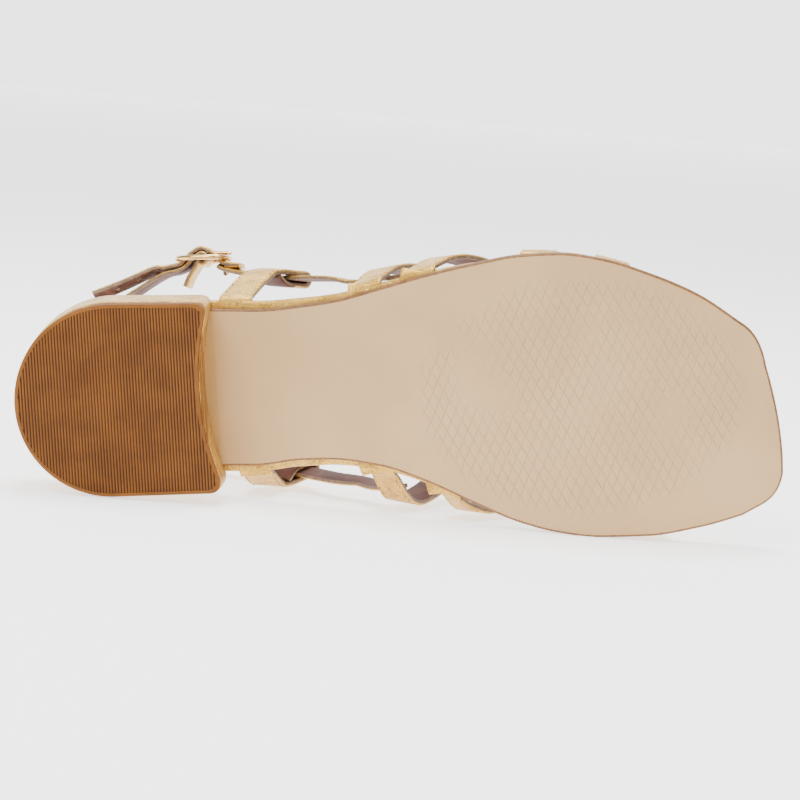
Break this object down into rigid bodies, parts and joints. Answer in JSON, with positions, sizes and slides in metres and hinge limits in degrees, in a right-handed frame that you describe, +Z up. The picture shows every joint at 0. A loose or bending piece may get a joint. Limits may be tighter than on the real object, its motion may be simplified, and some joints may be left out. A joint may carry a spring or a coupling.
{
  "type": "gladiator sandal",
  "caption": "Right-foot gladiator sandal with a squared toe, crossing foil leather straps, a buckled ankle strap and a low block heel, lying on its side.",
  "frame": {"origin": "centre of the bounding box in X and Y, at the floor that the shoe lies on", "axes": "+X heel to toe, +Y from the sole towards the ankle, +Z up from the floor, which is towards the lateral side of the shoe"},
  "size_m": [0.2446, 0.0846, 0.0891],
  "materials": {
    "heel_rubber": "amber brown ribbed rubber",
    "foil_leather": "crinkled pale gold foil leather",
    "sole": "smooth matt beige sole with a faint lozenge tread",
    "buckle_metal": "polished pale gold",
    "strap_lining": "dark red-brown lining leather",
    "edge_paint": "taupe painted strap edge",
    "footbed": "smooth tan lining of the insole",
    "thread": "brown sewing thread"
  },
  "bodies": {
    "root": {"top_lift": "heel_rubber", "heel_block": "foil_leather", "outsole": "sole", "insole": "foil_leather", "vamp_straps": "foil_leather", "guide_loop_lateral": "foil_leather", "guide_loop_medial": "foil_leather", "ankle_strap": "foil_leather", "heel_strap": "foil_leather", "buckle_frame": "buckle_metal", "buckle_prong": "buckle_metal"}
  },
  "joints": []
}
